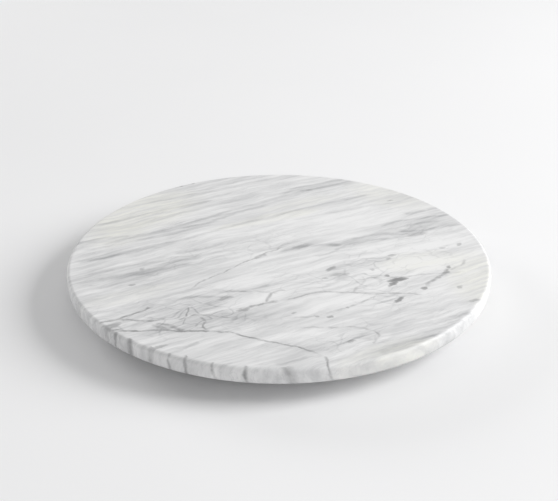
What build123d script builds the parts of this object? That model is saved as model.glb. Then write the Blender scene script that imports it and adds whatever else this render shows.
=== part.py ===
from build123d import *
import os
from math import cos, radians, sin

# A low cake turntable: a round marble slab that turns on a concealed ball-bearing ring with rubber feet.
#
# Millimetres, +Z up. The origin is on the turning axis, at the level of the surface that the feet stand on.
# The slab, its threaded inserts, the gasket and the inner ring turn together. The outer ring and the feet
# stand still. Between the two rings runs a row of steel balls, spaced by a cage in six segments.

# Overall size
SLAB_D = 457.0
SLAB_T = 18.0
OVERALL_H = 38.0
TOP_ARRIS_R = 4.0
BOTTOM_ARRIS_R = 5.0

# Ball bearing: two flat rings side by side, with the balls running between them
BALL_D = 4.76
RACE_CLEARANCE = 0.05
PITCH_R = 134.0
RING_GAP = 1.6
RING_T = 8.5
RING_OFFSET = 1.0
RING_CHAMFER = 0.6
INNER_RING_BORE_R = 117.0
OUTER_RING_R = 152.5

# Cage segments, each with its own balls
SEGMENTS = 6
BALLS_PER_SEGMENT = 6
CAGE_T = 1.0
CAGE_H = 6.5
CAGE_END_GAP_DEG = 0.8
POCKET_CLEARANCE = 0.12

# Gasket between the inner ring and the stone
GASKET_T = 1.0
GASKET_MARGIN = 1.2

# Countersunk screws that hold the inner ring to the stone, and the inserts that they go into
RING_SCREWS = 6
RING_SCREW_PCR = 124.5
RING_SCREW_R = 2.5
RING_SCREW_L = 16.0
RING_SCREW_RECESS = 0.1
RING_SCREW_HEAD_R = 4.85
RING_SCREW_HEX_AF = 3.0
RING_SCREW_SOCKET_DEPTH = 2.0
COUNTERSINK_R = 5.0
CLEARANCE_HOLE_R = 2.75
INSERT_R = 4.0
INSERT_L = 9.5
INSERT_GROOVES = 3
INSERT_GROOVE_W = 1.0
INSERT_GROOVE_DEPTH = 0.4
BLIND_HOLE_DEPTH = 11.0

# Feet, each with a washer and a button-head screw up into the outer ring
FEET = 6
FOOT_PCR = 144.0
FOOT_TOP_R = 7.8
FOOT_BOTTOM_R = 7.2
FOOT_EDGE_R = 0.9
FOOT_RECESS_R = 4.6
FOOT_HOLE_R = 2.2
FOOT_SCREW_R = 2.0
FOOT_SCREW_L = 12.0
FOOT_SCREW_HEX_AF = 2.5
FOOT_SCREW_SOCKET_DEPTH = 1.5
FOOT_HEAD_R = 3.5
FOOT_HEAD_H = 2.6
FOOT_HEAD_EDGE_R = 1.2
WASHER_R = 4.5
WASHER_BORE_R = 2.15
WASHER_T = 0.8
WASHER_Z = 5.2

# Grub screw that closes the hole through which the balls are loaded
PLUG_R = 3.0
PLUG_ANGLE_DEG = 30.0
PLUG_RACE_GAP = 0.25
PLUG_RECESS = 0.5
PLUG_HEX_AF = 3.0
PLUG_SOCKET_DEPTH = 3.0

# Radial gap between a thread's plain stand-in and its hole, and of an insert in the stone
FIT_GAP = 0.02

# Levels and radii that follow
SLAB_R = SLAB_D / 2
SLAB_Z = OVERALL_H - SLAB_T
GASKET_Z = SLAB_Z - GASKET_T
INNER_Z = GASKET_Z - RING_T
OUTER_Z = INNER_Z - RING_OFFSET
BALL_R = BALL_D / 2
BALL_Z = (INNER_Z + OUTER_Z + RING_T) / 2
RACE_R = BALL_R + RACE_CLEARANCE
INNER_RING_R = PITCH_R - RING_GAP / 2
OUTER_RING_BORE_R = PITCH_R + RING_GAP / 2
RING_SCREW_Z = INNER_Z + RING_SCREW_RECESS
FOOT_SCREW_Z = WASHER_Z - FOOT_HEAD_H
SEGMENT_DEG = 360 / SEGMENTS
BALL_STEP_DEG = SEGMENT_DEG / BALLS_PER_SEGMENT

ON_BASE = (Align.CENTER, Align.CENTER, Align.MIN)


def polar(radius, angle_deg, z=0.0):
    """A point at that radius and angle about the turning axis."""
    return Vector(radius * cos(radians(angle_deg)), radius * sin(radians(angle_deg)), z)


def spread(solid, pitch_r, count):
    """Copies of a solid from the Z axis, evenly spaced on a pitch circle, as separate solids in one group."""
    angles = [360 / count * i for i in range(count)]
    return Compound(children=[solid.moved(Pos(pitch_r, 0, 0)).rotate(Axis.Z, angle) for angle in angles])


def section(r_in, r_out, z_low, z_high):
    """A rectangular section from one radius to another, drawn in (radius, height)."""
    return Pos((r_in + r_out) / 2, (z_low + z_high) / 2) * Rectangle(r_out - r_in, z_high - z_low)


def turned(profile, angle_deg=360):
    """A section turned about the axis, from +X, through that angle."""
    return revolve(Plane.XZ * profile, Axis.Z, angle_deg)


def post(radius, z_low, z_high):
    """A round post on the Z axis."""
    return Pos(0, 0, z_low) * Cylinder(radius, z_high - z_low, align=ON_BASE)


def cone(low_r, high_r, z_low, height):
    """A cone on the Z axis."""
    return Pos(0, 0, z_low) * Cone(low_r, high_r, height, align=ON_BASE)


def hexagon(across_flats):
    """The outline of a hexagon socket."""
    return RegularPolygon(across_flats / 2, 6, major_radius=False)


def hex_post(across_flats, z_low, height):
    """A hexagonal post on the Z axis."""
    return Pos(0, 0, z_low) * extrude(hexagon(across_flats), height)


def radial_plane(radius, angle_deg):
    """A plane at ball height that faces outwards from the turning axis."""
    return Plane(origin=polar(radius, angle_deg, BALL_Z), x_dir=(0, 0, 1), z_dir=polar(1, angle_deg))


def radial_post(radius, r_in, r_out, angle_deg):
    """A round post at ball height that points outwards from the turning axis."""
    return radial_plane(r_in, angle_deg) * Cylinder(radius, r_out - r_in, align=ON_BASE)


def marble_slab():
    """The turning slab: both arrises rounded, and blind holes for the inserts in its underside."""
    slab = post(SLAB_R, SLAB_Z, OVERALL_H)
    slab = fillet(slab.edges().group_by(Axis.Z)[-1], TOP_ARRIS_R)
    slab = fillet(slab.edges().group_by(Axis.Z)[0], BOTTOM_ARRIS_R)
    hole = post(INSERT_R + FIT_GAP, SLAB_Z, SLAB_Z + BLIND_HOLE_DEPTH)
    return slab - spread(hole, RING_SCREW_PCR, RING_SCREWS)


def threaded_inserts():
    """Brass inserts, grooved outside for the adhesive, bonded flush with the slab's underside."""
    insert = post(INSERT_R, SLAB_Z, SLAB_Z + INSERT_L)
    insert -= post(RING_SCREW_R + FIT_GAP, SLAB_Z, SLAB_Z + INSERT_L)
    pitch = INSERT_L / (INSERT_GROOVES + 1)
    for i in range(INSERT_GROOVES):
        low = SLAB_Z + pitch * (i + 1) - INSERT_GROOVE_W / 2
        groove = section(INSERT_R - INSERT_GROOVE_DEPTH, INSERT_R + 1, low, low + INSERT_GROOVE_W)
        insert -= turned(groove)
    return spread(insert, RING_SCREW_PCR, RING_SCREWS)


def mounting_gasket():
    """A flat ring between the metal and the stone, with a hole for each screw."""
    ring = turned(section(INNER_RING_BORE_R + GASKET_MARGIN, INNER_RING_R - GASKET_MARGIN, GASKET_Z, SLAB_Z))
    return ring - spread(post(CLEARANCE_HOLE_R, GASKET_Z, SLAB_Z), RING_SCREW_PCR, RING_SCREWS)


def bearing_ring(r_in, r_out, z_low):
    """A ring with chamfered edges, and half of the ball race in the side that faces the other ring."""
    profile = section(r_in, r_out, z_low, z_low + RING_T)
    profile = chamfer(profile.vertices(), RING_CHAMFER)
    profile -= Pos(PITCH_R, BALL_Z) * Circle(RACE_R)
    return turned(profile)


def inner_ring():
    """The turning ring, countersunk from below for the screws into the stone."""
    ring = bearing_ring(INNER_RING_BORE_R, INNER_RING_R, INNER_Z)
    hole = post(CLEARANCE_HOLE_R, INNER_Z, INNER_Z + RING_T)
    hole += cone(COUNTERSINK_R, CLEARANCE_HOLE_R, INNER_Z, COUNTERSINK_R - CLEARANCE_HOLE_R)
    return ring - spread(hole, RING_SCREW_PCR, RING_SCREWS)


def ring_screws():
    """Countersunk screws with a hexagon socket, their heads sunk in the inner ring's lower face."""
    screw = post(RING_SCREW_R, RING_SCREW_Z, RING_SCREW_Z + RING_SCREW_L)
    screw += cone(RING_SCREW_HEAD_R, RING_SCREW_R, RING_SCREW_Z, RING_SCREW_HEAD_R - RING_SCREW_R)
    screw -= hex_post(RING_SCREW_HEX_AF, RING_SCREW_Z, RING_SCREW_SOCKET_DEPTH)
    return spread(screw, RING_SCREW_PCR, RING_SCREWS)


def outer_ring():
    """The standing ring, tapped from below for the feet, with the ball-loading hole in its rim."""
    ring = bearing_ring(OUTER_RING_BORE_R, OUTER_RING_R, OUTER_Z)
    ring -= spread(post(FOOT_SCREW_R + FIT_GAP, OUTER_Z, OUTER_Z + RING_T), FOOT_PCR, FEET)
    return ring - radial_post(PLUG_R + FIT_GAP, PITCH_R, OUTER_RING_R + 1, PLUG_ANGLE_DEG)


def filler_plug():
    """The grub screw in the ball-loading hole, with its hexagon socket outwards."""
    r_out = OUTER_RING_R - PLUG_RECESS
    plug = radial_post(PLUG_R, PITCH_R + RACE_R + PLUG_RACE_GAP, r_out, PLUG_ANGLE_DEG)
    socket_plane = radial_plane(r_out - PLUG_SOCKET_DEPTH, PLUG_ANGLE_DEG)
    return plug - extrude(socket_plane * hexagon(PLUG_HEX_AF), PLUG_SOCKET_DEPTH)


def ball_angles(index):
    """The angles of the balls that one cage segment carries."""
    return [SEGMENT_DEG * index + BALL_STEP_DEG * (k + 0.5) for k in range(BALLS_PER_SEGMENT)]


def cage_segment(index):
    """One sixth of the cage: a thin curved strip with a round pocket for each ball."""
    profile = section(PITCH_R - CAGE_T / 2, PITCH_R + CAGE_T / 2, BALL_Z - CAGE_H / 2, BALL_Z + CAGE_H / 2)
    strip = turned(profile, SEGMENT_DEG - CAGE_END_GAP_DEG)
    strip = strip.rotate(Axis.Z, SEGMENT_DEG * index + CAGE_END_GAP_DEG / 2)
    for angle in ball_angles(index):
        strip -= radial_post(BALL_R + POCKET_CLEARANCE, PITCH_R - CAGE_T, PITCH_R + CAGE_T, angle)
    return strip


def ball_set(index):
    """The balls of one cage segment."""
    return Compound(children=[Pos(polar(PITCH_R, a, BALL_Z)) * Sphere(BALL_R) for a in ball_angles(index)])


def rubber_foot(index):
    """A slightly tapered foot with a recess from below for the washer and the screw head."""
    foot = cone(FOOT_BOTTOM_R, FOOT_TOP_R, 0, OUTER_Z)
    foot = fillet(foot.edges().group_by(Axis.Z)[0], FOOT_EDGE_R)
    foot -= post(FOOT_RECESS_R, 0, WASHER_Z + WASHER_T)
    foot -= post(FOOT_HOLE_R, 0, OUTER_Z)
    return foot.moved(Pos(polar(FOOT_PCR, 360 / FEET * index)))


def foot_washers():
    """Steel washers that spread each screw's load on the rubber."""
    washer = turned(section(WASHER_BORE_R, WASHER_R, WASHER_Z, WASHER_Z + WASHER_T))
    return spread(washer, FOOT_PCR, FEET)


def foot_screws():
    """Button-head screws that hold the feet to the outer ring."""
    head = post(FOOT_HEAD_R, FOOT_SCREW_Z, WASHER_Z)
    head = fillet(head.edges().group_by(Axis.Z)[0], FOOT_HEAD_EDGE_R)
    screw = head + post(FOOT_SCREW_R, FOOT_SCREW_Z, WASHER_Z + FOOT_SCREW_L)
    screw -= hex_post(FOOT_SCREW_HEX_AF, FOOT_SCREW_Z, FOOT_SCREW_SOCKET_DEPTH)
    return spread(screw, FOOT_PCR, FEET)


def all_parts():
    """Every node's name and shape."""
    parts = {
        "marble_slab": marble_slab(),
        "threaded_inserts": threaded_inserts(),
        "mounting_gasket": mounting_gasket(),
        "inner_ring": inner_ring(),
        "ring_screws": ring_screws(),
        "outer_ring": outer_ring(),
        "filler_plug": filler_plug(),
        "foot_washers": foot_washers(),
        "foot_screws": foot_screws(),
    }
    for i in range(SEGMENTS):
        parts[f"cage_segment_{i + 1}"] = cage_segment(i)
        parts[f"ball_set_{i + 1}"] = ball_set(i)
    for i in range(FEET):
        parts[f"rubber_foot_{i + 1}"] = rubber_foot(i)
    return parts


os.makedirs("parts", exist_ok=True)
for name, shape in all_parts().items():
    export_step(shape, f"parts/{name}.step")
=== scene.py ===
from math import cos, pi, radians, sin, tau

import bmesh
import bpy
from mathutils import Matrix, Vector


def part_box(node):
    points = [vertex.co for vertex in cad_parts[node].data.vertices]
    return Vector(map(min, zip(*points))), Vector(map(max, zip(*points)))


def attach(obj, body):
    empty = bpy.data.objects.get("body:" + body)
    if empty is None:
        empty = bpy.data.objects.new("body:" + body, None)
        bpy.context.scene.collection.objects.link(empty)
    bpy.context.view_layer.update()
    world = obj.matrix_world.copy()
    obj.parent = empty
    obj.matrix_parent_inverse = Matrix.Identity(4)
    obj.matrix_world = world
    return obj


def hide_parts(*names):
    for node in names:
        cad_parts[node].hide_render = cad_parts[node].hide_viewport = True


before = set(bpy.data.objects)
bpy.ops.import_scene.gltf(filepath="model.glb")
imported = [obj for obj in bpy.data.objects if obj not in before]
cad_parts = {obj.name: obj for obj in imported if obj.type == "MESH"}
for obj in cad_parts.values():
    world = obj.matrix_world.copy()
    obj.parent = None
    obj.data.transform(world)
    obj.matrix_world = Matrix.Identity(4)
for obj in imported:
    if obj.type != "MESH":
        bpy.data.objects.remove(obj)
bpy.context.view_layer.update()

# Places and sizes that everything else is worked out from, in metres
slab_low, slab_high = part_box("marble_slab")
SLAB_R = (slab_high.x - slab_low.x) / 2
SLAB_TOP = slab_high.z
SLAB_UNDERSIDE = slab_low.z


# ---------------------------------------------------------------------------------------------------------
# Node helpers
# ---------------------------------------------------------------------------------------------------------

def add(tree, kind, inputs=None, **settings):
    """A shader node with its settings, and its inputs given as numbers or as other nodes' outputs."""
    node = tree.nodes.new("ShaderNode" + kind)
    for name, value in settings.items():
        setattr(node, name, value)
    for key, value in (inputs or {}).items():
        if isinstance(value, bpy.types.NodeSocket):
            tree.links.new(value, node.inputs[key])
        else:
            node.inputs[key].default_value = value
    return node


def calc(tree, operation, *values, clamp=False):
    """One step of arithmetic."""
    node = add(tree, "Math", dict(enumerate(values)), operation=operation, use_clamp=clamp)
    return node.outputs[0]


def calc_vector(tree, operation, *values):
    """One step of arithmetic on vectors."""
    return add(tree, "VectorMath", dict(enumerate(values)), operation=operation).outputs[0]


def rescale(tree, value, low, high, to_low=0.0, to_high=1.0, smooth=False):
    """A value mapped from one range to another, and held at the new range's ends."""
    settings = {"interpolation_type": "SMOOTHSTEP", "clamp": False} if smooth else {}
    inputs = {0: value, 1: low, 2: high, 3: to_low, 4: to_high}
    return add(tree, "MapRange", inputs, **settings).outputs[0]


def placed(tree, vector, at=(0, 0, 0), turn_deg=0.0, size=(1, 1, 1)):
    """A vector seen in a frame that lies at a point, turned about Z and scaled."""
    inputs = {"Vector": vector, "Location": at, "Rotation": (0, 0, radians(turn_deg)), "Scale": size}
    return add(tree, "Mapping", inputs, vector_type="TEXTURE").outputs[0]


def noise(tree, vector, scale, detail, roughness=0.5, colour=False, **settings):
    """Fractal noise between 0 and 1."""
    inputs = {"Vector": vector, "Scale": scale, "Detail": detail, "Roughness": roughness}
    node = add(tree, "TexNoise", inputs, **settings)
    return node.outputs["Color" if colour else "Fac"]


def mixed(tree, factor, first, second, blend="MIX"):
    """Two colours mixed by a factor."""
    inputs = {"Factor": factor, 6: first, 7: second}
    return add(tree, "Mix", inputs, data_type="RGBA", blend_type=blend).outputs[2]


def bumped(tree, height, distance, strength):
    """A surface normal bent by a height field."""
    inputs = {"Height": height, "Distance": distance, "Strength": strength}
    return add(tree, "Bump", inputs).outputs[0]


def material(name):
    """An empty node material, its tree, and its principled shader."""
    mat = bpy.data.materials.new(name)
    mat.use_nodes = True
    return mat, mat.node_tree, mat.node_tree.nodes["Principled BSDF"]


def finish_with(tree, shader, colour, roughness, normal):
    """Joins what varies over the surface to its shader. A roughness of None stays what it is."""
    for socket, value in (("Base Color", colour), ("Roughness", roughness), ("Normal", normal)):
        if value is not None:
            tree.links.new(value, shader.inputs[socket])


# ---------------------------------------------------------------------------------------------------------
# Marble. Its pattern is a solid one, in slab radii from the centre of the top face, so every vein runs
# through the stone and comes out in the edge.
# ---------------------------------------------------------------------------------------------------------

GRAIN_DEG = 29.0

# How far the pattern moves over as it goes down through the stone, so that veins lean on the edge
DIP_X = 0.22
DIP_Y = 0.2

# Strands of grey along the grain: the points that each passes through, half its width, and its strength
STRANDS = [
    ([(-0.98, -0.06), (-0.88, -0.03), (-0.80, 0.0), (-0.60, 0.11), (-0.48, 0.18)], 0.014, 0.34),
    ([(-0.62, 0.10), (-0.40, 0.23), (-0.17, 0.37), (-0.02, 0.45)], 0.011, 0.26),
    ([(-0.95, 0.32), (-0.85, 0.37), (-0.67, 0.48), (-0.50, 0.57), (-0.33, 0.66)], 0.011, 0.28),
    ([(-0.86, 0.13), (-0.70, 0.22), (-0.55, 0.31), (-0.47, 0.38)], 0.012, 0.26),
    ([(-0.56, 0.30), (-0.38, 0.42), (-0.28, 0.50), (-0.10, 0.62)], 0.010, 0.26),
    ([(-0.52, 0.30), (-0.40, 0.35), (-0.22, 0.49), (-0.05, 0.60)], 0.010, 0.26),
    ([(-1.0, 0.12), (-0.90, 0.18), (-0.72, 0.22)], 0.012, 0.24),
    ([(-0.96, 0.06), (-0.80, 0.12), (-0.60, 0.22)], 0.009, 0.18),
    ([(0.0, 0.70), (0.08, 0.76), (0.20, 0.81), (0.42, 0.90)], 0.016, 0.26),
    ([(0.04, 0.78), (0.20, 0.86), (0.36, 0.93)], 0.010, 0.18),
    ([(-0.10, 0.40), (0.10, 0.53), (0.35, 0.66), (0.50, 0.74)], 0.010, 0.20),
    ([(0.06, 0.40), (0.30, 0.51), (0.60, 0.63)], 0.009, 0.16),
    ([(-0.52, 0.70), (-0.35, 0.77), (-0.20, 0.85), (-0.03, 0.95)], 0.012, 0.22),
    ([(-0.70, 0.60), (-0.45, 0.72), (-0.26, 0.80)], 0.009, 0.16),
    ([(-0.50, 0.02), (-0.38, 0.07), (-0.26, 0.15)], 0.011, 0.24),
    ([(-0.93, -0.29), (-0.78, -0.215), (-0.60, -0.15), (-0.40, -0.06)], 0.013, 0.26),
    ([(-0.90, -0.20), (-0.70, -0.10), (-0.52, -0.04)], 0.009, 0.20),
    ([(0.15, 0.0), (0.22, 0.02), (0.32, 0.11), (0.40, 0.155), (0.56, 0.20)], 0.008, 0.30),
    ([(0.0, 0.05), (0.08, 0.10), (0.22, 0.125), (0.30, 0.12)], 0.014, 0.26),
    ([(0.34, 0.18), (0.50, 0.24), (0.62, 0.24), (0.74, 0.28)], 0.013, 0.26),
    ([(0.58, 0.27), (0.70, 0.28), (0.80, 0.32), (0.93, 0.37)], 0.012, 0.30),
    ([(0.50, 0.32), (0.58, 0.38), (0.70, 0.42), (0.88, 0.48)], 0.009, 0.26),
    ([(0.64, 0.47), (0.75, 0.51), (0.84, 0.57)], 0.014, 0.26),
    ([(0.44, 0.24), (0.62, 0.33), (0.82, 0.40)], 0.008, 0.22),
    ([(-0.72, -0.49), (-0.60, -0.44), (-0.42, -0.345), (-0.33, -0.30)], 0.009, 0.22),
    ([(-0.52, -0.44), (-0.38, -0.40), (-0.28, -0.40), (-0.20, -0.39)], 0.011, 0.28),
    ([(-0.28, -0.36), (-0.16, -0.33), (-0.04, -0.28)], 0.011, 0.26),
    ([(0.23, -0.14), (0.32, -0.085), (0.42, -0.03), (0.55, 0.0)], 0.011, 0.24),
    ([(0.40, -0.80), (0.48, -0.75), (0.62, -0.66), (0.86, -0.52)], 0.011, 0.22),
    ([(0.48, -0.67), (0.58, -0.59), (0.74, -0.50)], 0.009, 0.18),
    ([(0.10, -0.87), (0.22, -0.82), (0.30, -0.77), (0.40, -0.70)], 0.008, 0.24),
    ([(-0.02, -0.97), (0.10, -0.92), (0.19, -0.89)], 0.009, 0.22),
    ([(-0.46, -0.89), (-0.41, -0.85), (-0.33, -0.78)], 0.009, 0.34),
    ([(0.40, -0.88), (0.52, -0.82), (0.68, -0.72)], 0.014, 0.20),
    ([(0.46, -0.74), (0.58, -0.68), (0.76, -0.60)], 0.012, 0.16),
]

# Veins: thin dark lines, given in the same way
VEINS = [
    ([(-0.78, -0.67), (-0.65, -0.695), (-0.48, -0.69), (-0.38, -0.70), (-0.24, -0.70), (-0.16, -0.73),
      (-0.05, -0.78), (0.09, -0.84), (0.19, -0.90)], 0.0055, 0.48),
    ([(0.19, -0.895), (0.20, -0.95), (0.195, -1.03)], 0.0055, 0.40),
    ([(-0.78, -0.63), (-0.70, -0.60), (-0.64, -0.555), (-0.56, -0.485)], 0.006, 0.50),
    ([(-0.405, -0.49), (-0.40, -0.54), (-0.415, -0.60), (-0.45, -0.60)], 0.0045, 0.42),
    ([(-0.335, -0.58), (-0.32, -0.62), (-0.325, -0.66), (-0.30, -0.69)], 0.0045, 0.42),
    ([(-0.71, -0.60), (-0.60, -0.61), (-0.54, -0.615), (-0.48, -0.59)], 0.006, 0.36),
    ([(-0.54, -0.64), (-0.48, -0.65), (-0.40, -0.70)], 0.009, 0.46),
    ([(-0.42, -0.61), (-0.36, -0.565), (-0.27, -0.57), (-0.21, -0.58)], 0.008, 0.30),
    ([(-0.41, -0.33), (-0.34, -0.24), (-0.25, -0.15), (-0.12, -0.02), (-0.03, 0.06), (0.06, 0.12)],
     0.0045, 0.32),
    ([(-0.12, -0.02), (-0.06, 0.025)], 0.009, 0.36),
    ([(-0.19, -0.53), (-0.12, -0.49), (-0.06, -0.455), (0.0, -0.43)], 0.009, 0.42),
    ([(0.0, -0.43), (0.06, -0.415), (0.16, -0.36), (0.33, -0.357), (0.43, -0.37), (0.50, -0.36),
      (0.66, -0.38)], 0.006, 0.28),
    ([(-0.06, -0.455), (-0.045, -0.40), (-0.02, -0.35), (0.04, -0.335)], 0.007, 0.34),
    ([(-0.24, -0.345), (-0.14, -0.345), (0.0, -0.365)], 0.006, 0.26),
    ([(0.44, -0.37), (0.41, -0.41), (0.32, -0.48), (0.22, -0.54), (0.02, -0.60)], 0.006, 0.22),
    ([(0.09, -0.67), (0.20, -0.668), (0.32, -0.665), (0.40, -0.69)], 0.006, 0.22),
    ([(0.40, -0.69), (0.425, -0.72), (0.41, -0.76), (0.395, -0.80)], 0.006, 0.26),
    ([(0.38, -0.20), (0.385, -0.26), (0.36, -0.31), (0.34, -0.36)], 0.006, 0.18),
    ([(0.38, -0.21), (0.50, -0.21), (0.68, -0.185), (0.88, -0.155)], 0.0055, 0.20),
    ([(0.65, -0.33), (0.69, -0.27), (0.74, -0.215), (0.80, -0.11)], 0.008, 0.36),
    ([(0.80, -0.14), (0.86, -0.08), (0.88, -0.02)], 0.007, 0.24),
    ([(-0.615, -0.755), (-0.64, -0.80), (-0.68, -0.84)], 0.012, 0.44),
    ([(-0.685, -0.70), (-0.72, -0.76)], 0.008, 0.34),
    ([(-0.52, -0.83), (-0.545, -0.85), (-0.58, -0.89)], 0.010, 0.44),
    ([(-0.445, -0.87), (-0.48, -0.93)], 0.006, 0.44),
    ([(-0.375, -0.90), (-0.42, -0.96)], 0.006, 0.42),
    ([(-0.265, -0.94), (-0.29, -1.02)], 0.006, 0.36),
    ([(-0.13, -0.965), (-0.155, -1.04)], 0.007, 0.52),
    ([(0.02, -0.975), (0.06, -1.05)], 0.018, 0.30),
]

# Soft grey clouds, and pale patches with a negative strength. Each has a centre, half its length, half its
# width, an angle, and a strength.
CLOUDS = [
    ((0.17, 0.11), 0.20, 0.07, 10, 0.18),
    ((0.50, 0.22), 0.22, 0.07, 20, 0.17),
    ((0.76, 0.40), 0.22, 0.13, 26, 0.16),
    ((-0.44, -0.07), 0.24, 0.08, 22, 0.18),
    ((-0.66, -0.24), 0.16, 0.06, 24, 0.18),
    ((-0.90, -0.06), 0.16, 0.16, 24, 0.12),
    ((-0.22, 0.68), 0.12, 0.08, 24, 0.12),
    ((-0.36, 0.90), 0.30, 0.06, 24, 0.12),
    ((0.20, 0.82), 0.26, 0.07, 24, 0.13),
    ((-0.52, 0.30), 0.20, 0.08, 26, 0.11),
    ((-0.38, -0.48), 0.16, 0.07, 22, 0.18),
    ((-0.50, -0.68), 0.26, 0.06, 4, 0.17),
    ((-0.28, -0.58), 0.16, 0.05, 6, 0.14),
    ((0.30, -0.19), 0.10, 0.04, 10, 0.16),
    ((0.62, -0.78), 0.30, 0.07, 34, 0.12),
    ((-0.12, -0.44), 0.17, 0.06, 28, -0.30),
    ((-0.14, -0.26), 0.17, 0.05, 24, -0.14),
    ((0.25, -0.43), 0.18, 0.06, 12, -0.16),
    ((0.73, 0.14), 0.16, 0.08, 30, -0.20),
    ((0.45, 0.10), 0.80, 0.60, 20, -0.08),
    ((-0.55, -0.42), 0.62, 0.42, 10, 0.09),
    ((0.10, -0.80), 1.00, 0.36, 4, 0.06),
    ((0.66, -0.06), 0.14, 0.09, 10, -0.24),
    ((0.10, -0.74), 0.20, 0.06, 8, -0.16),
    ((0.42, 0.47), 0.30, 0.10, 26, -0.13),
    ((0.50, 0.06), 0.16, 0.08, 26, -0.10),
    ((-0.10, 0.34), 0.34, 0.06, 26, -0.11),
    ((-0.62, -0.40), 0.24, 0.06, 24, -0.10),
]

# Dark flakes, given in the same way
FLAKES = [
    ((0.545, -0.235), 0.052, 0.020, 22, 0.78),
    ((0.525, -0.27), 0.040, 0.014, 52, 0.70),
    ((0.50, -0.197), 0.013, 0.012, 0, 0.57),
    ((0.535, -0.425), 0.036, 0.011, 52, 0.70),
    ((0.66, -0.315), 0.020, 0.013, 40, 0.61),
    ((0.735, -0.212), 0.018, 0.010, 20, 0.45),
    ((0.775, -0.165), 0.024, 0.011, 42, 0.61),
    ((0.795, -0.11), 0.014, 0.012, 80, 0.57),
    ((0.242, -0.125), 0.034, 0.014, 48, 0.49),
    ((0.28, -0.185), 0.045, 0.016, 12, 0.33),
    ((0.21, -0.22), 0.016, 0.010, 0, 0.33),
    ((0.222, -0.575), 0.016, 0.010, 0, 0.49),
    ((0.165, -0.575), 0.010, 0.009, 0, 0.41),
    ((0.302, -0.495), 0.011, 0.009, 60, 0.41),
    ((0.065, -0.545), 0.014, 0.009, 30, 0.37),
    ((0.82, -0.305), 0.020, 0.012, 60, 0.37),
    ((0.87, -0.43), 0.030, 0.010, 30, 0.37),
    ((0.435, -0.135), 0.012, 0.010, 0, 0.33),
    ((0.54, 0.012), 0.024, 0.012, 20, 0.33),
    ((0.52, -0.025), 0.018, 0.010, 50, 0.29),
    ((0.875, 0.13), 0.020, 0.012, 60, 0.37),
    ((0.79, 0.09), 0.018, 0.010, 20, 0.29),
    ((0.585, 0.645), 0.018, 0.009, 20, 0.37),
    ((0.16, 0.78), 0.020, 0.010, 10, 0.29),
    ((-0.47, 0.87), 0.014, 0.011, 0, 0.45),
    ((-0.525, 0.835), 0.012, 0.010, 0, 0.45),
    ((-0.67, -0.287), 0.018, 0.009, 20, 0.41),
    ((-0.64, -0.13), 0.014, 0.012, 60, 0.29),
    ((-0.155, -0.515), 0.032, 0.014, 28, 0.53),
    ((-0.24, -0.41), 0.040, 0.014, 24, 0.33),
    ((-0.50, -0.67), 0.050, 0.014, -30, 0.37),
    ((-0.50, -0.83), 0.040, 0.013, 30, 0.37),
    ((-0.72, -0.66), 0.050, 0.020, 40, 0.41),
    ((0.302, -0.78), 0.022, 0.011, 24, 0.33),
    ((0.10, 0.10), 0.045, 0.016, 24, 0.25),
    ((0.27, 0.12), 0.040, 0.015, 10, 0.25),
    ((0.68, 0.24), 0.055, 0.018, 24, 0.29),
]

# Where the stone was broken into small pieces, given in the same way
BROKEN = [
    ((0.42, -0.10), 0.50, 0.22, 14, 0.26),
    ((0.10, -0.42), 0.60, 0.18, 6, 0.21),
    ((-0.46, -0.62), 0.36, 0.20, 0, 0.32),
    ((0.35, -0.70), 0.40, 0.14, 20, 0.16),
    ((-0.30, 0.02), 0.45, 0.12, 26, 0.16),
    ((0.78, 0.30), 0.26, 0.16, 26, 0.16),
]

# Yellowish tints, given in the same way
TINTS = [
    ((-0.70, 0.50), 0.34, 0.20, 40, 0.9),
    ((-0.80, 0.22), 0.16, 0.12, 30, 0.5),
    ((-0.05, 0.42), 0.30, 0.05, 26, 0.7),
    ((0.12, 0.62), 0.24, 0.05, 26, 0.5),
    ((0.58, 0.72), 0.24, 0.14, -40, 0.6),
    ((0.66, -0.05), 0.20, 0.10, 14, 0.6),
    ((0.92, -0.22), 0.14, 0.26, 0, 0.8),
    ((0.46, -0.90), 0.26, 0.10, 30, 0.8),
    ((-0.66, -0.38), 0.26, 0.06, 26, 0.4),
]


def measured(tree, where, start, along, aside):
    """How far a place lies from the start, along each of two directions. Only vector arithmetic is used
    here: Cycles keeps every Mapping node's result until the last, and so many don't fit in its memory."""
    local = calc_vector(tree, "SUBTRACT", where, (*start, 0))
    directions = (*along, 0), (*aside, 0)
    nodes = [add(tree, "VectorMath", {0: local, 1: way}, operation="DOT_PRODUCT") for way in directions]
    return [node.outputs["Value"] for node in nodes]


def line_mask(tree, where, points, half_width, strength):
    """A line through the points, that fades at both ends. Along the chord from the first point to the last,
    a curve gives how far to the side the line lies, in chord lengths above one half."""
    first, last = Vector(points[0]), Vector(points[-1])
    chord = last - first
    length = chord.length
    along, aside = chord / length, Vector((-chord.y, chord.x)) / length
    start = first - aside * length / 2
    forward, sideways = measured(tree, where, start, along / length, aside / length)
    curve = add(tree, "FloatCurve", {"Value": forward})
    line = curve.mapping.curves[0]
    steps = [Vector(point) - first for point in points]
    spots = [(step.dot(along) / length, step.dot(aside) / length + 0.5) for step in steps]
    line.points[0].location, line.points[1].location = spots[0], spots[-1]
    for spot in spots[1:-1]:
        line.points.new(*spot)
    curve.mapping.update()
    away = calc(tree, "ABSOLUTE", calc(tree, "SUBTRACT", sideways, curve.outputs[0]))
    core = rescale(tree, away, 2 * half_width / length, 0.0, smooth=True)
    off_middle = calc(tree, "ABSOLUTE", calc(tree, "SUBTRACT", forward, 0.5))
    fade = rescale(tree, off_middle, 0.5, 0.4, 0.0, strength, smooth=True)
    return calc(tree, "MULTIPLY", core, fade)


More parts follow.
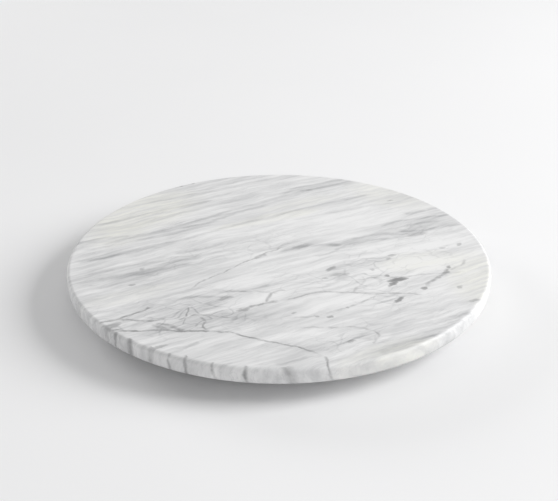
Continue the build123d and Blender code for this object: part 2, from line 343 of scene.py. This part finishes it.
def patch_mask(tree, where, centre, half_length, half_width, turn_deg, strength):
    """An ellipse with a soft edge."""
    turn = radians(turn_deg)
    along, aside = Vector((cos(turn), sin(turn))), Vector((-sin(turn), cos(turn)))
    forward, sideways = measured(tree, where, Vector(centre), along / half_length, aside / half_width)
    away_squared = calc(tree, "MULTIPLY_ADD", forward, forward, calc(tree, "MULTIPLY", sideways, sideways))
    return rescale(tree, away_squared, 1.6, 0.1, 0.0, strength, smooth=True)


def layered(tree, operation, mask, where, items):
    """One mask for each item, joined as they are made by an operation such as ADD or MAXIMUM."""
    result = mask(tree, where, *items[0])
    for item in items[1:]:
        result = calc(tree, operation, result, mask(tree, where, *item))
    return result


def swayed(tree, where, scale, amount, detail):
    """The same place, moved a little by noise."""
    sway = calc_vector(tree, "SUBTRACT", noise(tree, where, scale, detail, colour=True), (0.5, 0.5, 0.5))
    return calc_vector(tree, "MULTIPLY_ADD", sway, (amount, amount, 0.0), where)


def marble():
    """White marble with grey strands along one grain, thin dark veins, and dark flakes."""
    mat, tree, shader = material("marble")
    coords = add(tree, "TexCoord").outputs["Object"]
    upright = placed(tree, coords, (0, 0, SLAB_TOP), 0, (SLAB_R, SLAB_R, SLAB_R))
    depth = add(tree, "SeparateXYZ", {0: upright}).outputs[2]
    where = calc_vector(tree, "MULTIPLY_ADD", depth, (DIP_X, DIP_Y, 0), upright)

    # The grain wanders on a large scale, and shivers on a small one
    wavy = swayed(tree, swayed(tree, where, 1.5, 0.10, 2), 7.0, 0.04, 4)
    grain = placed(tree, wavy, (0, 0, 0), GRAIN_DEG, (1.0, 0.12, 0.5))
    broad = noise(tree, grain, 1.7, 4, 0.5)
    strands = noise(tree, placed(tree, grain, (3, 1, 0)), 4.0, 6, 0.6)
    fibres = noise(tree, placed(tree, grain, (2, 5, 1), 0, (1.0, 0.6, 1.0)), 5.5, 4, 0.7)
    threads = noise(tree, placed(tree, grain, (7, 4, 2), 4, (1.0, 1.2, 1.0)), 5.0, 4, 0.6)
    ridge = calc(tree, "ABSOLUTE", calc(tree, "SUBTRACT", threads, 0.5))
    hairs = rescale(tree, ridge, 0.035, 0.0, smooth=True)
    patchy = noise(tree, placed(tree, where, (5, 2, 1)), 3.0, 3)

    dark = rescale(tree, broad, 0.30, 0.70, 0.02, 0.31)
    dark = calc(tree, "ADD", dark, rescale(tree, strands, 0.25, 0.75, -0.20, 0.21))
    dark = calc(tree, "ADD", dark, rescale(tree, fibres, 0.25, 0.75, -0.08, 0.10))
    dark = calc(tree, "MULTIPLY_ADD", hairs, rescale(tree, patchy, 0.40, 0.65, 0.03, 0.15), dark)

    cloudy = swayed(tree, swayed(tree, where, 5.0, 0.05, 2), 20.0, 0.04, 3)
    clouds = layered(tree, "ADD", patch_mask, cloudy, CLOUDS)
    dark = calc(tree, "MULTIPLY_ADD", clouds, rescale(tree, strands, 0.3, 0.7, 0.4, 1.0), dark)
    frayed = swayed(tree, swayed(tree, where, 5.0, 0.02, 3), 26.0, 0.022, 4)
    lines = layered(tree, "MAXIMUM", line_mask, frayed, STRANDS)
    dark = calc(tree, "MULTIPLY_ADD", lines, rescale(tree, fibres, 0.3, 0.7, 0.4, 1.3), dark)

    # Fine cracks between the crystals, where the stone was broken and healed
    healed = placed(tree, swayed(tree, where, 7.0, 0.14, 2), (0, 0, 0), 24, (1.0, 0.45, 0.8))
    cells = add(tree, "TexVoronoi", {"Vector": healed, "Scale": 8.0}, feature="DISTANCE_TO_EDGE")
    cracks = rescale(tree, cells.outputs["Distance"], 0.08, 0.0, smooth=True)
    broken = layered(tree, "MAXIMUM", patch_mask, cloudy, BROKEN)
    broken = calc(tree, "MULTIPLY", broken, rescale(tree, patchy, 0.38, 0.6, 0.1, 1.0))
    dark = calc(tree, "MULTIPLY_ADD", cracks, broken, dark)

    crisp = swayed(tree, swayed(tree, where, 11.0, 0.035, 3), 45.0, 0.014, 3)
    veins = layered(tree, "MAXIMUM", line_mask, crisp, VEINS)
    veins = calc(tree, "MULTIPLY", veins, rescale(tree, noise(tree, where, 22.0, 3), 0.35, 0.62, 0.45, 1.5))
    ragged = swayed(tree, where, 45.0, 0.024, 3)
    flakes = layered(tree, "MAXIMUM", patch_mask, ragged, FLAKES)

    dark = calc(tree, "ADD", dark, 0.0, clamp=True)
    colour = mixed(tree, dark, (0.875, 0.875, 0.875, 1), (0.31, 0.315, 0.325, 1))
    colour = mixed(tree, calc(tree, "MAXIMUM", veins, flakes), colour, (0.14, 0.14, 0.145, 1))
    warm = layered(tree, "ADD", patch_mask, cloudy, TINTS)
    warm = calc(tree, "MULTIPLY", warm, rescale(tree, strands, 0.35, 0.65, 1.2, 0.3))
    colour = mixed(tree, warm, colour, (1.0, 0.998, 0.945, 1), blend="MULTIPLY")

    roughness = rescale(tree, noise(tree, where, 12.0, 5), 0.3, 0.7, 0.36, 0.48)
    fine = noise(tree, where, 160.0, 3)
    height = calc(tree, "MULTIPLY_ADD", cracks, -0.2, calc(tree, "MULTIPLY", fine, 0.12))
    finish_with(tree, shader, colour, roughness, bumped(tree, height, 0.0002, 0.5))
    shader.inputs["Specular IOR Level"].default_value = 0.3
    return mat


# ---------------------------------------------------------------------------------------------------------
# Metals, rubber, foam and nylon of the swivel underneath, which keeps its CAD shapes
# ---------------------------------------------------------------------------------------------------------

def metal(name, dull, bright, smoothest, roughest, lathe_lines=0.0):
    """Metal with a patchy tone and fine scratches, and with the rings that a lathe leaves if asked for."""
    mat, tree, shader = material(name)
    coords = add(tree, "TexCoord").outputs["Object"]
    patches = noise(tree, coords, 140.0, 5, 0.6)
    scratches = noise(tree, placed(tree, coords, (0, 0, 0), 35, (1.0, 0.03, 0.3)), 900.0, 3)
    height = scratches
    finish = rescale(tree, calc(tree, "ADD", patches, scratches), 0.7, 1.3, smoothest, roughest)
    if lathe_lines:
        parts = add(tree, "SeparateXYZ", {0: coords}).outputs
        flat = add(tree, "CombineXYZ", {0: parts[0], 1: parts[1]}).outputs[0]
        radius = add(tree, "VectorMath", {0: flat}, operation="LENGTH").outputs["Value"]
        turning = add(tree, "CombineXYZ", {0: radius, 1: calc(tree, "MULTIPLY", parts[2], 0.7)}).outputs[0]
        rings = noise(tree, turning, 1500.0, 3, noise_dimensions="2D")
        height = calc(tree, "MULTIPLY_ADD", rings, lathe_lines, scratches)
        patches = calc(tree, "MULTIPLY_ADD", rings, 0.6, calc(tree, "MULTIPLY", patches, 0.4))
    colour = mixed(tree, rescale(tree, patches, 0.35, 0.65), dull, bright)
    finish_with(tree, shader, colour, finish, bumped(tree, height, 0.00006, 0.5))
    shader.inputs["Metallic"].default_value = 1.0
    return mat


def moulded(name, dark, light, smoothest, roughest, grain_per_metre, grain_height):
    """Moulded rubber or plastic: a fine even grain, and dust that lies in patches."""
    mat, tree, shader = material(name)
    coords = add(tree, "TexCoord").outputs["Object"]
    dust = noise(tree, coords, 90.0, 6, 0.65)
    grain = noise(tree, coords, grain_per_metre, 3, 0.6)
    colour = mixed(tree, rescale(tree, calc(tree, "ADD", dust, grain), 0.75, 1.3), dark, light)
    roughness = rescale(tree, dust, 0.3, 0.7, smoothest, roughest)
    finish_with(tree, shader, colour, roughness, bumped(tree, grain, grain_height, 0.6))
    return mat


def foam(name):
    """Black closed-cell foam: cut cells of two sizes, with painted shade that darkens each cell towards its
    bottom.
    """
    mat, tree, shader = material(name)
    coords = add(tree, "TexCoord").outputs["Object"]
    cells = add(tree, "TexVoronoi", {"Vector": coords, "Scale": 2200.0}).outputs["Distance"]
    coarse = add(tree, "TexVoronoi", {"Vector": coords, "Scale": 900.0}).outputs["Distance"]
    height = calc(tree, "MULTIPLY_ADD", coarse, 0.6, cells)
    # Painted shade: the colour is darker where the height is low, at the bottoms of the cut cells
    colour = mixed(tree, rescale(tree, height, 0.2, 1.1), (0.012, 0.012, 0.013, 1), (0.055, 0.055, 0.058, 1))
    roughness = rescale(tree, noise(tree, coords, 120.0, 4), 0.3, 0.7, 0.82, 0.95)
    finish_with(tree, shader, colour, roughness, bumped(tree, height, 0.0002, 0.8))
    return mat


def finish_swivel():
    """Each CAD node of the swivel gets its finish, found by how its name begins."""
    turned_aluminium = metal("ring_aluminium", (0.60, 0.61, 0.62, 1), (0.76, 0.77, 0.78, 1), 0.26, 0.42, 2.5)
    zinc = metal("screw_steel", (0.44, 0.44, 0.43, 1), (0.62, 0.62, 0.61, 1), 0.24, 0.40)
    brass = metal("insert_brass", (0.55, 0.40, 0.17, 1), (0.76, 0.58, 0.28, 1), 0.25, 0.42)
    polished = metal("ball_steel", (0.52, 0.52, 0.53, 1), (0.66, 0.66, 0.67, 1), 0.06, 0.14)
    nylon = moulded("cage_nylon", (0.50, 0.48, 0.42, 1), (0.70, 0.68, 0.61, 1), 0.34, 0.50, 700.0, 0.00004)
    black, dusty = (0.014, 0.014, 0.015, 1), (0.060, 0.060, 0.062, 1)
    rubber = moulded("foot_rubber", black, dusty, 0.50, 0.72, 1500.0, 0.00008)
    finishes = {
        "inner_ring": turned_aluminium, "outer_ring": turned_aluminium, "filler_plug": turned_aluminium,
        "ring_screws": zinc, "foot_screws": zinc, "foot_washers": zinc, "threaded_inserts": brass,
        "mounting_gasket": foam("gasket_rubber"), "ball_set": polished, "cage_segment": nylon,
        "rubber_foot": rubber,
    }
    for node_name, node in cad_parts.items():
        for start, finish in finishes.items():
            if node_name.startswith(start):
                for place in node.material_slots:
                    place.material = finish


# ---------------------------------------------------------------------------------------------------------
# Slab: the CAD slab's shape, turned finely enough for smooth highlights on its two rounded arrises
# ---------------------------------------------------------------------------------------------------------

TOP_ARRIS = 0.004
BOTTOM_ARRIS = 0.005
SIDES = 384
ARC_STEPS = 8
INSERTS = 6
INSERT_R = 0.004
INSERT_GAP = 0.00002
INSERT_HOLE_DEPTH = 0.011
DRILL_SIDES = 64
SHARP_EDGE_DEG = 40


def slab_profile():
    """Radius and height from the top face's edge, over both arrises, to the underside's edge."""
    turns = [i / ARC_STEPS * pi / 2 for i in range(ARC_STEPS + 1)]
    sines, cosines = [sin(a) for a in turns], [cos(a) for a in turns]
    upper = [(SLAB_R - TOP_ARRIS * (1 - s), SLAB_TOP - TOP_ARRIS * (1 - c)) for s, c in zip(sines, cosines)]
    low_middle = SLAB_UNDERSIDE + BOTTOM_ARRIS
    lower = [(SLAB_R - BOTTOM_ARRIS * (1 - c), low_middle - BOTTOM_ARRIS * s) for s, c in zip(sines, cosines)]
    inward = [0.98, 0.9, 0.75, 0.55, 0.3, 0.1]
    top = [(SLAB_R * share, SLAB_TOP) for share in reversed(inward)]
    underside = [(SLAB_R * share, SLAB_UNDERSIDE) for share in inward[1:]]
    return top + upper + lower + underside


def drill_insert_holes(slab):
    """Blind holes in the underside for the threaded inserts, one of which lies on the X axis."""
    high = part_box("threaded_inserts")[1]
    middle = Vector((high.x - INSERT_R, 0, SLAB_UNDERSIDE))
    form = bmesh.new()
    for index in range(INSERTS):
        place = Matrix.Rotation(tau * index / INSERTS, 4, "Z") @ Matrix.Translation(middle)
        radius = INSERT_R + INSERT_GAP
        bmesh.ops.create_cone(
            form, cap_ends=True, segments=DRILL_SIDES, radius1=radius, radius2=radius,
            depth=2 * INSERT_HOLE_DEPTH, matrix=place
        )
    drills = bpy.data.meshes.new("drills")
    form.to_mesh(drills)
    form.free()
    drill = bpy.data.objects.new("drills", drills)
    bpy.context.collection.objects.link(drill)
    cut = slab.modifiers.new("insert_holes", "BOOLEAN")
    cut.operation, cut.solver, cut.object = "DIFFERENCE", "EXACT", drill
    shaped = slab.evaluated_get(bpy.context.evaluated_depsgraph_get())
    slab.data = bpy.data.meshes.new_from_object(shaped)
    slab.modifiers.clear()
    bpy.data.objects.remove(drill)


def turned_slab():
    """The slab as a closed mesh of revolution, drilled for its inserts."""
    mesh = bpy.data.meshes.new("marble_slab_turned")
    form = bmesh.new()
    rings = []
    for radius, height in slab_profile():
        angles = [tau * i / SIDES for i in range(SIDES)]
        rings.append([form.verts.new((radius * cos(a), radius * sin(a), height)) for a in angles])
    for first, second in zip(rings, rings[1:]):
        for i in range(SIDES):
            j = (i + 1) % SIDES
            form.faces.new((first[i], second[i], second[j], first[j]))
    form.faces.new(rings[0])
    form.faces.new(list(reversed(rings[-1])))
    bmesh.ops.recalc_face_normals(form, faces=form.faces)
    form.to_mesh(mesh)
    form.free()
    slab = bpy.data.objects.new("turned_marble_slab", mesh)
    bpy.context.collection.objects.link(slab)
    drill_insert_holes(slab)
    slab.data.shade_smooth()
    slab.data.set_sharp_from_angle(angle=radians(SHARP_EDGE_DEG))
    return slab


# ---------------------------------------------------------------------------------------------------------
# Stage, light and camera
# ---------------------------------------------------------------------------------------------------------

# The camera's distance from the slab, and its rise above the line through the slab's centre, in slab radii
CAMERA_LENS_MM = 77.4
CAMERA_PITCH_DEG = 26.78
CAMERA_DISTANCE = 5.72
CAMERA_RISE = 0.028

# In metres, and the strength of the even light from all round
LIGHT_DISTANCE = 4.0
FLOOR_SIZE = 12
WORLD_STRENGTH = 0.38


def make_camera():
    """A camera that looks down at the slab from its front."""
    data = bpy.data.cameras.new("camera")
    data.lens = CAMERA_LENS_MM
    camera = bpy.data.objects.new("camera", data)
    bpy.context.collection.objects.link(camera)
    pitch = radians(CAMERA_PITCH_DEG)
    forward = Vector((0, cos(pitch), -sin(pitch)))
    up = Vector((0, sin(pitch), cos(pitch)))
    aim = Vector((0, 0, SLAB_TOP))
    camera.location = aim - forward * CAMERA_DISTANCE * SLAB_R + up * CAMERA_RISE * SLAB_R
    camera.rotation_euler = (pi / 2 - pitch, 0, 0)
    bpy.context.scene.camera = camera


def softbox(name, azimuth_deg, elevation_deg, width, height, watts, glare=True):
    """A rectangular light that faces the slab from that direction, with or without its own reflection."""
    data = bpy.data.lights.new(name, "AREA")
    data.shape = "RECTANGLE"
    data.size, data.size_y = width, height
    data.energy = watts
    light = bpy.data.objects.new(name, data)
    bpy.context.collection.objects.link(light)
    azimuth, elevation = radians(azimuth_deg), radians(elevation_deg)
    away = Vector((cos(azimuth) * cos(elevation), sin(azimuth) * cos(elevation), sin(elevation)))
    light.visible_glossy = glare
    light.location = Vector((0, 0, SLAB_TOP)) + away * LIGHT_DISTANCE
    light.rotation_euler = away.to_track_quat("Z", "Y").to_euler()


def paper():
    """Matt white background paper."""
    mat, tree, shader = material("paper")
    coords = add(tree, "TexCoord").outputs["Object"]
    tone = rescale(tree, noise(tree, coords, 3.0, 4), 0.3, 0.7, 0.0, 1.0)
    colour = mixed(tree, tone, (0.885, 0.885, 0.89, 1), (0.895, 0.895, 0.90, 1))
    finish_with(tree, shader, colour, None, bumped(tree, noise(tree, coords, 900.0, 3), 0.0001, 0.3))
    shader.inputs["Roughness"].default_value = 0.9
    return mat


def make_floor():
    """A wide sheet that everything stands on."""
    bpy.ops.mesh.primitive_plane_add(size=FLOOR_SIZE)
    floor = bpy.context.object
    floor.name = "floor"
    floor.data.materials.append(paper())


def make_world():
    """Even white light from all round."""
    world = bpy.data.worlds.new("studio")
    bpy.context.scene.world = world
    world.use_nodes = True
    shader = world.node_tree.nodes["Background"]
    shader.inputs["Color"].default_value = (1, 1, 1, 1)
    shader.inputs["Strength"].default_value = WORLD_STRENGTH


bpy.context.scene.view_settings.view_transform = "Standard"
make_camera()
make_world()
make_floor()
softbox("key", 2, 28, 2.0, 2.4, 165)
softbox("back_fill", 137, 15, 1.8, 1.4, 60, glare=False)
softbox("front_fill", 270, 30, 1.8, 1.4, 20, glare=False)
finish_swivel()

slab = turned_slab()
slab.data.materials.append(marble())
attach(slab, "turning_top")
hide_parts("marble_slab")
